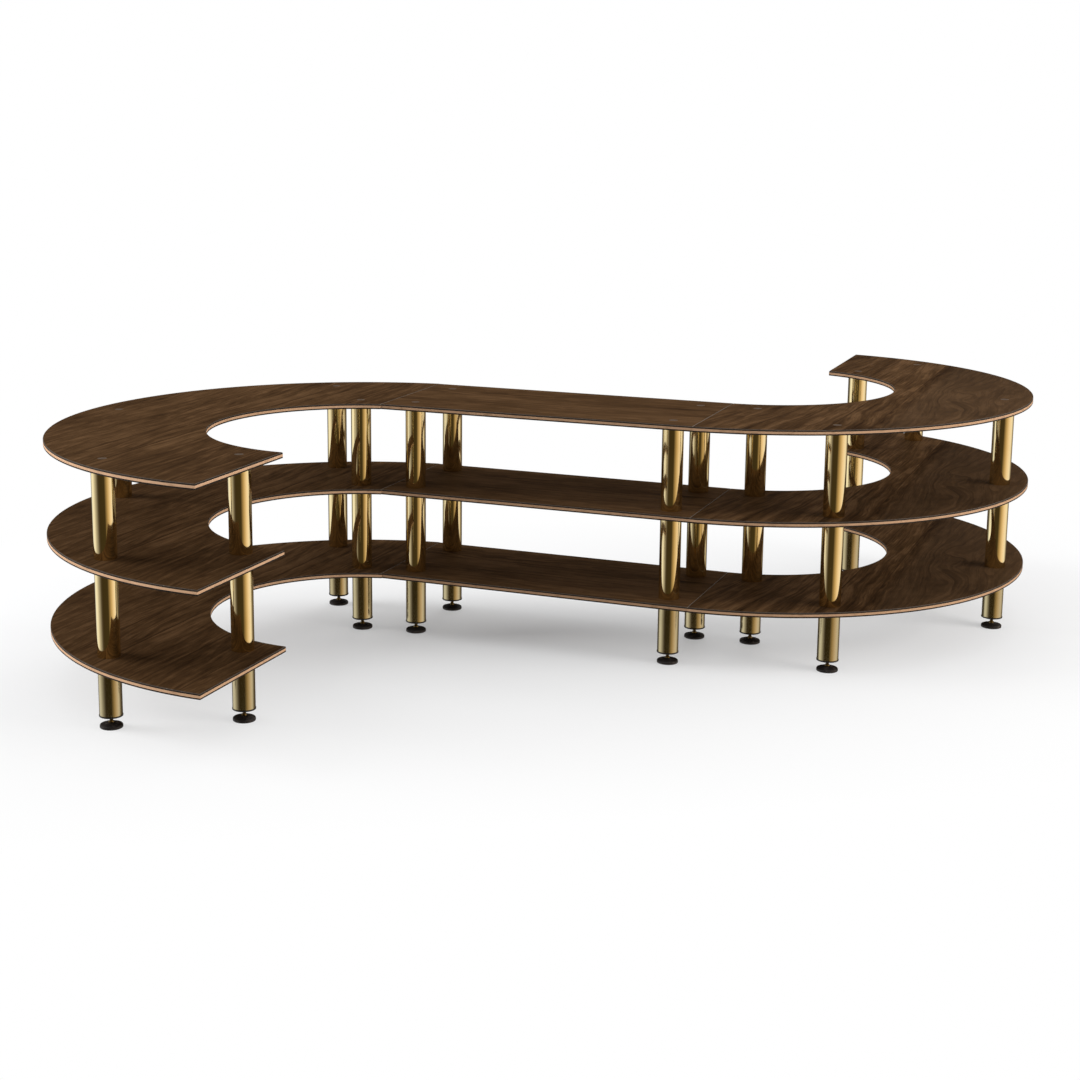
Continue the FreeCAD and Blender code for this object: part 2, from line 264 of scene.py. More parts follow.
pad_rubber = black_rubber()
for module in LEGS:
    for count, axis in enumerate(axes_of(module), start=1):
        node = f"{module}_foot_pad_{count}"
        low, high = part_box(node)
        pad_radius = (high.x - low.x) / 2
        pad_profile = eased([
            (0, low.z, 0),
            (pad_radius, low.z, PAD_SIDE_EASE),
            (pad_radius, low.z + PAD_RIM_HEIGHT, PAD_SHOULDER_EASE),
            (PAD_BOSS_RADIUS, high.z, PAD_BOSS_EASE),
            (SOCKET_RADIUS, high.z, SOCKET_EASE),
            (SOCKET_RADIUS, low.z + SOCKET_FLOOR, 0),
            (0, low.z + SOCKET_FLOOR, 0),
        ])
        pad = turned(f"{module}_rubber_foot_{count}", pad_profile, axis[None], pad_rubber)
        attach(pad, f"{module}_pad_{count}")
        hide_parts(node)


# Stems: a steel screw with a worn brass plating, turned with a pivot and a collar at its lower end.
# The collar stands on the pad's boss, and the thread runs up through the bush in the leg's end cap.

THREAD_PITCH = 1.5 * MILLIMETRE
THREAD_CREST = 4.96 * MILLIMETRE
THREAD_ROOT = 4.25 * MILLIMETRE
THREAD_ROWS_PER_TURN = 6
THREAD_STEPS = 24
PIVOT_RADIUS = 4 * MILLIMETRE
PIVOT_LENGTH = 7 * MILLIMETRE
PIVOT_EASE = 0.3 * MILLIMETRE
COLLAR_RADIUS = 7.5 * MILLIMETRE
COLLAR_HEIGHT = 3 * MILLIMETRE
COLLAR_EASE = 0.5 * MILLIMETRE
SCREW_BRASS = (0.42, 0.31, 0.13, 1)
SCREW_TARNISH = (0.14, 0.10, 0.045, 1)
SCREW_ROUGHNESS = 0.28
TARNISH_ROUGHNESS = 0.24
TARNISH_RANGE = (0.42, 0.70)
TARNISH_DEPTH = 0.08 * MILLIMETRE
TARNISH_PATCHES = ((140, 140, 220), 5.0)


def screw_brass():
    """Satin brass plating that has gone dull in patches."""
    material, shader, place = finish_of("screw_brass", Metallic=1.0)
    patches = stretched_noise(place, *TARNISH_PATCHES)
    tarnish = stepped(patches, *TARNISH_RANGE)
    feed(shader, "Base Color", blended(tarnish, SCREW_BRASS, SCREW_TARNISH))
    feed(shader, "Roughness", SCREW_ROUGHNESS + TARNISH_ROUGHNESS * tarnish)
    feed(shader, "Normal", raised(patches, TARNISH_DEPTH))
    return material


def threaded_stem(name, axis, bottom, top, material):
    """Pivot, collar and screw as one surface round an axis: the radius is set by height alone below the
    collar's top, and above it by root + (crest - root) * wave(z / pitch - angle / turn). The profile's last
    two corners only give the collar's top edge its way inwards, and are left off."""
    angle = np.linspace(0, 2 * np.pi, THREAD_STEPS, endpoint=False)
    start = bottom + PIVOT_LENGTH + COLLAR_HEIGHT
    collar = eased([
        (0, bottom, 0),
        (PIVOT_RADIUS, bottom, PIVOT_EASE),
        (PIVOT_RADIUS, bottom + PIVOT_LENGTH, 0),
        (COLLAR_RADIUS, bottom + PIVOT_LENGTH, COLLAR_EASE),
        (COLLAR_RADIUS, start, COLLAR_EASE),
        (THREAD_ROOT, start, 0),
        (0, start, 0),
    ])[:-2 * (EASE_STEPS + 1)]
    turns = (top - start) / THREAD_PITCH
    height = np.linspace(start, top, int(turns * THREAD_ROWS_PER_TURN))[:, None]
    phase = height / THREAD_PITCH - angle / (2 * np.pi)
    wave = 1 - np.abs(2 * (phase % 1) - 1)
    run_out = np.clip((top - height) / THREAD_PITCH, 0, 1) * np.clip((height - start) / THREAD_PITCH, 0, 1)
    screw = THREAD_ROOT + (THREAD_CREST - THREAD_ROOT) * wave * run_out
    radius = np.vstack([np.repeat(collar[:, :1], THREAD_STEPS, axis=1), screw, np.zeros((1, THREAD_STEPS))])
    level = np.concatenate([collar[:, 1], height[:, 0], [top]])[:, None]
    points = np.stack([
        axis[0] + radius * np.cos(angle),
        axis[1] + radius * np.sin(angle),
        np.broadcast_to(level, radius.shape),
    ], axis=-1)
    faces = grid_faces(len(radius), THREAD_STEPS, wrap_rows=False)
    return shown_piece(name, points.reshape(-1, 3), faces, [material])


stem_brass = screw_brass()
for module in LEGS:
    for count, axis in enumerate(axes_of(module), start=1):
        node = f"{module}_foot_stem_{count}"
        low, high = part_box(node)
        stem = threaded_stem(f"{module}_levelling_screw_{count}", axis, low.z, high.z, stem_brass)
        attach(stem, f"{module}_stem_{count}")
        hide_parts(node)


# Leg end caps: black moulded plugs pushed into the foot of each leg's tube.
# Only the lip shows, as a thin black ring a little wider than the tube.

CAP_LIP_HEIGHT = 4 * MILLIMETRE
CAP_LIP_EASE = 1.3 * MILLIMETRE
CAP_SPIGOT_RADIUS = 28.4 * MILLIMETRE
CAP_BORE_RADIUS = 8.05 * MILLIMETRE
CAP_BORE_EASE = 0.4 * MILLIMETRE
CAP_BLACK = (0.010, 0.009, 0.009, 1)
CAP_SCUFF = (0.045, 0.040, 0.038, 1)
CAP_GLOSS = 0.4
CAP_ROUGHNESS = 0.36
SCUFF_ROUGHNESS = 0.22
SCUFF_RANGE = (0.56, 0.80)
MOULD_DEPTH = 0.05 * MILLIMETRE
MOULD_GRAIN = ((1500, 1500, 1500), 1.0)
SCUFFS = ((90, 90, 400), 4.0)


def black_plastic():
    """Injection-moulded plastic: black and half matt, with faint scuffs."""
    material, shader, place = finish_of("black_plastic", Specular_IOR_Level=CAP_GLOSS)
    grain = stretched_noise(place, *MOULD_GRAIN)
    scuffs = stepped(stretched_noise(place, *SCUFFS), *SCUFF_RANGE)
    feed(shader, "Base Color", blended(scuffs, CAP_BLACK, CAP_SCUFF))
    feed(shader, "Roughness", CAP_ROUGHNESS + SCUFF_ROUGHNESS * scuffs)
    feed(shader, "Normal", raised(grain, MOULD_DEPTH))
    return material


def radius_round(node, axes):
    """Radius of the round pieces of one node: half of what its box is wider than the spread of their axes."""
    low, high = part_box(node)
    return (high.x - low.x - np.ptp(axes[:, 0])) / 2


cap_plastic = black_plastic()
for module in LEGS:
    node = f"{module}_leg_end_caps"
    low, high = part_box(node)
    cap_radius = radius_round(node, axes_of(module))
    cap_profile = eased([
        (CAP_BORE_RADIUS, low.z, CAP_BORE_EASE),
        (cap_radius, low.z, CAP_LIP_EASE),
        (cap_radius, low.z + CAP_LIP_HEIGHT, CAP_LIP_EASE / 2),
        (CAP_SPIGOT_RADIUS, low.z + CAP_LIP_HEIGHT, 0),
        (CAP_SPIGOT_RADIUS, high.z, CAP_LIP_EASE),
        (CAP_BORE_RADIUS, high.z, 0),
    ])
    caps = turned(f"{module}_black_leg_caps", cap_profile, axes_of(module), cap_plastic)
    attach(caps, "station")
    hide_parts(node)


# Threaded bushes: plain brass sleeves moulded into the end caps, one for each levelling screw.
# Their lower ends show as a ring round the screw when a foot is seen from below.


def dressed(node, material):
    """Give a CAD node that stays in view its finish."""
    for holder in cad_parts[node].material_slots:
        holder.material = material


for module in LEGS:
    dressed(f"{module}_threaded_bushes", stem_brass)


# Legs: lengths of brass-plated steel tube with a thick threaded plate welded inside the top.
# They are brushed rather than polished, and stand on their end caps under the bottom shelf. Their brass is
# painted darker than the posts' brass, a painted shade for the shade under the bottom shelf.

TUBE_WALL = 1.5 * MILLIMETRE
TUBE_EASE = 0.5 * MILLIMETRE
TUBE_STEPS = 96
LEG_PLATE = 8 * MILLIMETRE
ROD_THREAD_RADIUS = 5.05 * MILLIMETRE
# The leg colours are painted shade: the same brass as the posts, made darker for the shade under the bottom
# shelf.
SHADED_LEG_BRASS = (0.52, 0.45, 0.265, 1)
SHADED_LEG_BRASS_DULL = (0.38, 0.32, 0.180, 1)
SATIN_ROUGHNESS = 0.15
SATIN_SPREAD = 0.08
DULL_RANGE = (0.45, 0.80)
DULL_COLOUR, LINE_COLOUR = 0.5, 0.2
DULL_ROUGHNESS, LINE_ROUGHNESS = 0.7, 0.3
LINE_DEPTH = 0.002 * MILLIMETRE
DULL_PATCHES = ((9, 9, 6), 4.0)
DRAW_LINES = ((900, 900, 5), 2.0)


def tube_brass(name, bright, tarnished, polish, spread):
    """Brass plating over drawn tube. Dull patches and faint draw lines up the tube are rougher than the
    rest, by up to the spread."""
    material, shader, place = finish_of(name, Metallic=1.0)
    patches = stretched_noise(place, *DULL_PATCHES)
    lines = stretched_noise(place, *DRAW_LINES)
    dull = stepped(patches, *DULL_RANGE)
    feed(shader, "Base Color", blended(DULL_COLOUR * dull + LINE_COLOUR * lines, bright, tarnished))
    feed(shader, "Roughness", polish + spread * (DULL_ROUGHNESS * dull + LINE_ROUGHNESS * lines))
    feed(shader, "Normal", raised(lines, LINE_DEPTH))
    return material


shaded_satin_brass = tube_brass("satin_brass_tube", SHADED_LEG_BRASS, SHADED_LEG_BRASS_DULL, SATIN_ROUGHNESS, SATIN_SPREAD)
for module in LEGS:
    node = f"{module}_legs"
    low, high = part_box(node)
    leg_radius = radius_round(node, axes_of(module))
    leg_bore = leg_radius - TUBE_WALL
    leg_profile = eased([
        (leg_bore, low.z, 0),
        (leg_radius, low.z, TUBE_EASE),
        (leg_radius, high.z, TUBE_EASE),
        (ROD_THREAD_RADIUS, high.z, 0),
        (ROD_THREAD_RADIUS, high.z - LEG_PLATE, 0),
        (leg_bore, high.z - LEG_PLATE, 0),
    ])
    legs = turned(f"{module}_leg_tubes", leg_profile, axes_of(module), shaded_satin_brass, TUBE_STEPS)
    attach(legs, "station")
    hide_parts(node)


# Shelves: boards of pale core faced on both sides with dark walnut laminate, cut to a straight run or an
# arc. The cut edge is left bare, so the core shows tan between the two dark sheets. Each is drilled for the
# tie rods, or counterbored for the cap nuts in the top board, and dowelled to its neighbour at the seam.

INNER_RADIUS = 395 * MILLIMETRE
OUTER_RADIUS = 825 * MILLIMETRE
BULGE = {"left": -1, "right": 1}
INNER_SHIFT = {"left": 0, "right": 24 * MILLIMETRE}
LAMINATE = 4.8 * MILLIMETRE
BACKING = 3.8 * MILLIMETRE
TOP_EASE = 1.5 * MILLIMETRE
BOTTOM_EASE = 0.4 * MILLIMETRE
ROD_HOLE_RADIUS = 5.25 * MILLIMETRE
NUT_HEAD_RADIUS = 12.1 * MILLIMETRE
NUT_BARREL_RADIUS = 7.1 * MILLIMETRE
NUT_HEAD_HEIGHT = 3 * MILLIMETRE
ARC_STEPS = 160
HOLE_STEPS = 40
BOARD_SHARP_TURN = math.radians(30)
LEVELS = ("bottom", "middle", "top")
VENEER, SHEET_EDGE, CORE, ARRIS = range(4)

# Walnut colours from dark to light, and the leaves of each module's laminate, with lengths in metres.
WALNUT_DARK = (0.0235, 0.0113, 0.0050, 1)
WALNUT_MID = (0.070, 0.0362, 0.0156, 1)
WALNUT_LIGHT = (0.138, 0.0745, 0.0345, 1)
WALNUT_GREY = (0.065, 0.0390, 0.0215, 1)
WALNUT_STOPS = [(0.38, WALNUT_DARK), (0.49, WALNUT_MID), (0.61, WALNUT_LIGHT)]
WALNUT_GLOSS = 0.003
GRAIN_ALONG = {"left": "Y", "straight": "X", "right": "Y"}
LEAF_WIDTH = 0.133
LEAF_UNEVEN, LEAF_RHYTHM = 0.18, 14.0
LEAF_JOINT = {"left": -0.88, "straight": 0.06, "right": 0.885}
LEAF_SPREAD = {"left": 0.06, "straight": 0.07, "right": 0.10}
LEAF_TONE_SEED, LEAF_SLIDE_SEED = 0.37, 7.61
LEAF_SLIDE, LEAF_DEPTH_APART = 2.3, 1.7
JOINT_WIDTH = 0.060
JOINT_DARK, JOINT_STREAKED = 0.60, 0.4
WIDE_LEAF_SIDE = {"left": -1, "straight": 1, "right": 1}
WIDE_LEAF_TONE = {"left": 0.0, "straight": 0.0, "right": -0.022}
WIDE_LEAF_GREY = {"left": 0.0, "straight": 0.0, "right": 0.45}
WIDE_LEAF_START = (0.0, 0.01)
BELT_TONE = {"left": 0.0, "straight": 0.0, "right": -0.075}
BELT_WIDTH = 0.06
LEAN = {"left": 0.0, "straight": 0.0, "right": 0.20}
LEAN_REACH = 0.35
BOARD_TONE = {"left": -0.023, "straight": -0.014, "right": -0.026}

# The walnut's figure. A fibre is given by its features per metre across and along the grain, and its octaves.
FIGURE_DEPTH = {"left": 1.0, "straight": 0.85, "right": 1.25}
STREAK_BREAKS = {"left": 1.3, "straight": 1.2, "right": 1.0}
FIBRES = [(10, 0.9, 2.0), (34, 2.2, 3.0), (130, 6, 3.0), (420, 16, 2.0)]
WAVER = ((3.0, 1.3, 1), 2.0)
RIPPLE = ((9, 5.0, 1), 2.0)
CURL = ((6.0, 3.0, 1), 2.0)
DRIFT = ((4.5, 3.0, 1), 1.0)
MOTTLE = ((30, 16, 1), 3.0)
PORES = ((1300, 42, 1), 2.0)
VEIN_FIELD = ((8, 0.7, 1), 1.0)
WAVER_REACH, RIPPLE_REACH = 0.075, 0.030
CURL_ACROSS, CURL_ALONG = 0.14, 0.4
FIGURE_WEIGHTS = (0.12, 0.14, 0.19, 0.24, 0.15, 0.15)
VEINS_PER_LEVEL = 11.0
VEIN_RISE, VEIN_FALL = (0.45, 0.95), (0.95, 1.0)
VEIN_DARK = 0.055
VEIN_FAINT, VEIN_MOTTLED, VEIN_IN_BURL = 0.25, 0.60, 1.1
MOTTLE_RANGE = (0.40, 0.60)
PORE_RANGE = (0.58, 0.72)
PORE_DARK = 0.30
WALNUT_ROUGHNESS, FIBRE_ROUGHNESS, PORE_ROUGHNESS = 0.46, 0.14, 0.10
FIBRE_RAISED, PORE_SUNK = 0.7, 0.3
WALNUT_RELIEF = 0.03 * MILLIMETRE
KNOTS = {
    "left": [((-0.80, 0.36), (0.10, 0.22), 0.06)],
    "straight": [((-0.28, 0.11), (0.20, 0.06), 0.03)],
    "right": [((1.01, 0.68), (0.060, 0.22), 0.070), ((1.08, 0.32), (0.050, 0.16), -0.045),
              ((1.15, 0.64), (0.035, 0.14), 0.035)],
}


def distance_along(place, axis):
    """One coordinate of a place, in metres."""
    return place.node("ShaderNodeSeparateXYZ", None, {"Vector": place}, output=axis)


def walnut_laminate(module):
    """Walnut in leaves laid side by side up to a last wide one; side and grain are the plan distances across
    and along its fibres, and the leaves before the wide one may lean to the grain. The leaf's number sets its
    tone and shifts its figure. Streaks are noise drawn out along the grain, over a slow drift of tone, and
    veins are level lines of a slow noise. A wavering of the side bends all of them, and each knot adds its
    height times e^-(distance / spread)^2, so that the figure runs round it. The wide leaf may be greyer past
    a belt of its own tone at the joint."""
    material, shader, place = finish_of(f"{module}_walnut", Specular_IOR_Level=WALNUT_GLOSS)
    x, y = [distance_along(place, axis) for axis in "XY"]
    side, grain = (y, x) if GRAIN_ALONG[module] == "X" else (x, y)

    out = WIDE_LEAF_SIDE[module] * (side - LEAF_JOINT[module])
    lean = LEAN[module] * grain * (1 - stepped(out, -LEAN_REACH, 0.0))
    side = side - lean
    out = out - lean
    leaf_place = out / LEAF_WIDTH + LEAF_UNEVEN * (out * LEAF_RHYTHM).sine()
    leaf = out.math("MINIMUM", out.math("FLOOR", leaf_place), 0)
    tone, shift = [
        leaf.node("ShaderNodeTexWhiteNoise", {"noise_dimensions": "1D"}, {"W": leaf + seed})
        for seed in (LEAF_TONE_SEED, LEAF_SLIDE_SEED)]

    knots = []
    for centre, spread, height in KNOTS[module]:
        far_x = (x - centre[0]) / spread[0]
        far_y = (y - centre[1]) / spread[1]
        knots.append((height, x.math("EXPONENT", -1 * (far_x * far_x + far_y * far_y))))
    swell = sum(height * knot for height, knot in knots)
    in_burl = x.math("MINIMUM", sum(knot for height, knot in knots), 1)

    slid_grain = grain + LEAF_SLIDE * shift
    leaf_depth = LEAF_DEPTH_APART * leaf
    flat = place.node("ShaderNodeCombineXYZ", None, {"X": side, "Y": slid_grain, "Z": leaf_depth})
    waver, ripple, curl = [stretched_noise(flat, *noise) - 0.5 for noise in (WAVER, RIPPLE, CURL)]
    bent_side = side + WAVER_REACH * waver + RIPPLE_REACH * ripple + swell + CURL_ACROSS * in_burl * curl
    bent_grain = slid_grain + CURL_ALONG * in_burl * curl
    bent = place.node("ShaderNodeCombineXYZ", None, {"X": bent_side, "Y": bent_grain, "Z": leaf_depth})

    drift = stretched_noise(flat, *DRIFT)
    mottle = stretched_noise(flat, *MOTTLE)
    broad, streaks, threads, fine = [
        stretched_noise(bent, (across, along * STREAK_BREAKS[module], 1), octaves)
        for across, along, octaves in FIBRES]
    pore = stepped(stretched_noise(bent, *PORES), *PORE_RANGE)
    level = stretched_noise(bent, *VEIN_FIELD) * VEINS_PER_LEVEL
    ring = level.math("FRACT", level)
    vein = stepped(ring, *VEIN_RISE) * (1 - stepped(ring, *VEIN_FALL))
    vein_strength = VEIN_FAINT + VEIN_MOTTLED * stepped(mottle, *MOTTLE_RANGE) + VEIN_IN_BURL * in_burl

    marks = zip(FIGURE_WEIGHTS, (drift, broad, streaks, threads, fine, mottle))
    figure = sum(weight * (mark - 0.5) for weight, mark in marks) - VEIN_DARK * vein * vein_strength
    in_wide_leaf = stepped(out, *WIDE_LEAF_START)
    belt = in_wide_leaf * (1 - stepped(out, 0.0, BELT_WIDTH))
    depth = 0.5 + FIGURE_DEPTH[module] * figure + LEAF_SPREAD[module] * (tone - 0.5) + BOARD_TONE[module]
    depth = depth + WIDE_LEAF_TONE[module] * in_wide_leaf + BELT_TONE[module] * belt
    joint = 1 - stepped(leaf_place - leaf, 0.0, JOINT_WIDTH)
    colour = depth.node("ShaderNodeValToRGB", {"stops": WALNUT_STOPS}, {"Fac": depth})
    colour = blended(WIDE_LEAF_GREY[module] * (in_wide_leaf - belt), colour, WALNUT_GREY)
    colour = blended(joint * (JOINT_DARK + JOINT_STREAKED * streaks), colour, WALNUT_DARK)
    colour = blended(PORE_DARK * pore, colour, WALNUT_DARK)
    feed(shader, "Base Color", colour)
    feed(shader, "Roughness", WALNUT_ROUGHNESS + FIBRE_ROUGHNESS * fine + PORE_ROUGHNESS * pore)
    feed(shader, "Normal", raised(FIBRE_RAISED * fine - PORE_SUNK * pore, WALNUT_RELIEF))
    return material


SHEET_BLACK = (0.012, 0.009, 0.007, 1)
SHEET_GREY = (0.030, 0.024, 0.019, 1)
# The top arris is painted lighter than the cut edge below it: a painted sheen where the top edge catches the
# light.
ARRIS_SHEEN_BROWN = (0.060, 0.045, 0.034, 1)
ARRIS_SHEEN_GREY = (0.105, 0.086, 0.070, 1)
SEAM_PAINTED_HIGHLIGHT = (0.165, 0.134, 0.108, 1)
SEAM_REACH = 1.7 * MILLIMETRE
SEAM_HIGHLIGHT_SHARE, SEAM_MARKED = 0.55, 0.6
SHEET_GLOSS = 0.10
SHEET_ROUGHNESS, SAW_ROUGHNESS = 0.38, 0.2
SAW_RANGE = (0.40, 0.72)
SAW_DEPTH = 0.03 * MILLIMETRE
SAW_MARKS = ((240, 240, 900), 3.0)


def sheet_edge(name, dark, pale, seams=()):
    """Cut edge of the laminate: dark resin with pale saw marks, and a painted highlight within a small reach
    of each seam's x."""
    material, shader, place = finish_of(name, Specular_IOR_Level=SHEET_GLOSS)
    marks = stretched_noise(place, *SAW_MARKS)
    colour = blended(stepped(marks, *SAW_RANGE), dark, pale)
    x = distance_along(place, "X")
    # Painted highlight: a pale line along each seam, stronger on the saw marks.
    for seam in seams:
        near = x.math("LESS_THAN", x.math("ABSOLUTE", x - seam), SEAM_REACH)
        colour = blended(near * (SEAM_HIGHLIGHT_SHARE + SEAM_MARKED * marks), colour, SEAM_PAINTED_HIGHLIGHT)
    feed(shader, "Base Color", colour)
    feed(shader, "Roughness", SHEET_ROUGHNESS + SAW_ROUGHNESS * marks)
    feed(shader, "Normal", raised(marks, SAW_DEPTH))
    return material


CORE_TAN = (0.50, 0.292, 0.160, 1)
CORE_PALE = (0.62, 0.385, 0.238, 1)
CORE_BROWN = (0.16, 0.088, 0.043, 1)
# Each module's share of the brown is painted shade for how much light its edges get: most on the straight
# module, least on the left.
CORE_PAINTED_SHADE = {"left": 0.10, "straight": 0.56, "right": 0.43}
CORE_GLOSS = 0.2
CORE_ROUGHNESS, BLOTCH_ROUGHNESS = 0.55, 0.2
PLY_PAIR = 2.6 * MILLIMETRE
EVEN_PLY, UNEVEN_PLY = 0.35, 0.65
PLY_RANGE = (0.25, 0.75)
BLOTCH_RANGE = (0.50, 0.72)
FLECK_RANGE = (0.56, 0.72)
BLOTCH_STAIN, FLECK_STAIN = 0.25, 0.15
PLY_RAISED, FLECK_RAISED = 0.6, 0.4
CORE_RELIEF = 0.08 * MILLIMETRE
PLIES = ((3, 3, 420), 1.0)
BLOTCHES = ((28, 28, 60), 4.0)
CORE_FLECKS = ((380, 380, 700), 2.0)


def bare_core(module):
    """Sanded edge of the core: thin plies, with blotches along the cut and end-grain flecks. A ply is part of
    a sine up the edge and part of a noise. Each module's cut is darkened towards brown by its own share, a
    painted shade for how much light that module's edges get."""
    material, shader, place = finish_of(f"{module}_core_edge", Specular_IOR_Level=CORE_GLOSS)
    z = distance_along(place, "Z")
    plies = stretched_noise(place, *PLIES)
    blotch = stretched_noise(place, *BLOTCHES)
    flecks = stepped(stretched_noise(place, *CORE_FLECKS), *FLECK_RANGE)
    wave = 0.5 + 0.5 * (z * (2 * math.pi / PLY_PAIR)).sine()
    ply = EVEN_PLY * wave + UNEVEN_PLY * plies
    colour = blended(stepped(ply, *PLY_RANGE), CORE_TAN, CORE_PALE)
    # Painted shade: the module's own share of brown darkens its whole cut, and the blotches and flecks add
    # real marks on top.
    stain_and_shade = CORE_PAINTED_SHADE[module] + BLOTCH_STAIN * stepped(blotch, *BLOTCH_RANGE) + FLECK_STAIN * flecks
    colour = blended(stain_and_shade, colour, CORE_BROWN)
    feed(shader, "Base Color", colour)
    feed(shader, "Roughness", CORE_ROUGHNESS + BLOTCH_ROUGHNESS * blotch)
    feed(shader, "Normal", raised(PLY_RAISED * ply + FLECK_RAISED * flecks, CORE_RELIEF))
    return material


def straight_outline(low, high, inset):
    """Corners of the straight board, moved inwards by the inset."""
    left, right, front, back = low.x + inset, high.x - inset, low.y + inset, high.y - inset
    return np.array([(left, front), (right, front), (right, back), (left, back)])


def curved_outline(low, high, bulge, inner_shift, inset):
    """Outline of a curved board, moved inwards by the inset. It runs along the outer arc and back along the
    inner one, whose centre lies further to the bulge by its shift; each arc ends where it meets the straight
    cuts, at cos(angle) = (cut + inset - shift) / radius. bulge is the sign of the side in X to which it
    bends. The outer arc touches the box at the tip, and the front cut reaches the box's other side."""
    tip, front_end = (high.x, low.x) if bulge > 0 else (low.x, high.x)
    centre_x = tip - bulge * OUTER_RADIUS
    front_cut = bulge * (front_end - centre_x)
    centre_y = low.y + math.sqrt(OUTER_RADIUS ** 2 - front_cut ** 2)
    rear_cut = math.sqrt(OUTER_RADIUS ** 2 - (high.y - centre_y) ** 2)
    runs = []
    for radius, shift, way in ((OUTER_RADIUS - inset, 0, 1), (INNER_RADIUS + inset, inner_shift, -1)):
        start, end = [math.acos((cut + inset - shift) / radius) for cut in (front_cut, rear_cut)]
        angle = np.linspace(-start, end, ARC_STEPS)[::way]
        across = shift + radius * np.cos(angle)
        runs.append(np.stack([centre_x + bulge * across, centre_y + radius * np.sin(angle)], -1))
    return np.concatenate(runs)


def circles(axes, radius):
    """A ring of points round each axis."""
    angle = np.linspace(0, 2 * np.pi, HOLE_STEPS, endpoint=False)
    return [axis + radius * np.stack([np.cos(angle), np.sin(angle)], -1) for axis in axes]


def at_height(outline, z):
    """Plan points lifted to a height."""
    return np.column_stack([outline, np.full(len(outline), z)])


def shelf_board(name, outline, axes, low_z, high_z, hole_profile, materials):
    """Board as a profile of (inset, height) carried along the outline, a profile of (radius, height) carried
    round each hole, and two flat sheets that fill the plan between them."""
    edge = [
        (TOP_EASE, high_z),
        (0, high_z - TOP_EASE),
        (0, high_z - LAMINATE),
        (0, low_z + BACKING),
        (0, low_z + BOTTOM_EASE),
        (BOTTOM_EASE, low_z),
    ]
    band_materials = [ARRIS, SHEET_EDGE, CORE, SHEET_EDGE, SHEET_EDGE]
    rings = np.stack([at_height(outline(inset), z) for inset, z in edge])
    rows, columns = rings.shape[:2]
    points = [rings.reshape(-1, 3)]
    faces = grid_faces(rows, columns, wrap_rows=False).tolist()
    face_materials = np.repeat(band_materials, columns).tolist()
    count = rows * columns
    for axis in axes:
        walls = np.stack([at_height(circles(axis[None], radius)[0], z) for radius, z in hole_profile])
        points.append(walls.reshape(-1, 3))
        faces += (grid_faces(len(hole_profile), HOLE_STEPS, wrap_rows=False) + count).tolist()
        face_materials += [CORE] * ((len(hole_profile) - 1) * HOLE_STEPS)
        count += walls.shape[0] * HOLE_STEPS
    top_hole, bottom_hole = hole_profile[0][0], hole_profile[-1][0]
    for inset, z, radius in ((TOP_EASE, high_z, top_hole), (BOTTOM_EASE, low_z, bottom_hole)):
        loops = [at_height(loop, z) for loop in [outline(inset)] + circles(axes, radius)]
        sheet = np.concatenate(loops)
        triangles = tessellate_polygon([[Vector(point) for point in loop] for loop in loops])
        points.append(sheet)
        faces += [tuple(count + corner for corner in triangle) for triangle in triangles]
        face_materials += [VENEER] * len(triangles)
        count += len(sheet)
    return shown_piece(name, np.concatenate(points), faces, materials, face_materials, BOARD_SHARP_TURN)


cut_edge = sheet_edge("laminate_cut_edge", SHEET_BLACK, SHEET_GREY)
straight_low, straight_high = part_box("straight_top_shelf")
seam_lines = (straight_low.x, straight_high.x)
# Painted sheen: the top arris gets lighter colours than the cut edge, and a painted highlight at each seam.
arris_painted_sheen = sheet_edge("laminate_worn_arris", ARRIS_SHEEN_BROWN, ARRIS_SHEEN_GREY, seam_lines)
for module in LEGS:
    veneer = walnut_laminate(module)
    core_edge = bare_core(module)
    for level in LEVELS:
        node = f"{module}_{level}_shelf"
        low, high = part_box(node)
        if module == "straight":
            outline = partial(straight_outline, low, high)
        else:
            outline = partial(curved_outline, low, high, BULGE[module], INNER_SHIFT[module])
        if level == "top":
            step = high.z - NUT_HEAD_HEIGHT
            hole = [
                (NUT_HEAD_RADIUS, high.z),
                (NUT_HEAD_RADIUS, step),
                (NUT_BARREL_RADIUS, step),
                (NUT_BARREL_RADIUS, low.z),
            ]
        else:
            hole = [(ROD_HOLE_RADIUS, high.z), (ROD_HOLE_RADIUS, low.z)]
        shelf = shelf_board(f"{module}_{level}_board", outline, axes_of(module), low.z, high.z, hole,
                            [veneer, cut_edge, core_edge, arris_painted_sheen])
        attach(shelf, "station")
        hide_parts(node)


# Posts: polished brass-plated tubes with a drilled plate welded into each end.
# One stands over each leg on every tier, clamped between two shelves by the tie rod inside it.

POST_PLATE = 5 * MILLIMETRE
BRASS = (0.93, 0.79, 0.45, 1)
BRASS_DULL = (0.78, 0.63, 0.31, 1)
POLISHED_ROUGHNESS = 0.055
POLISHED_SPREAD = 0.05

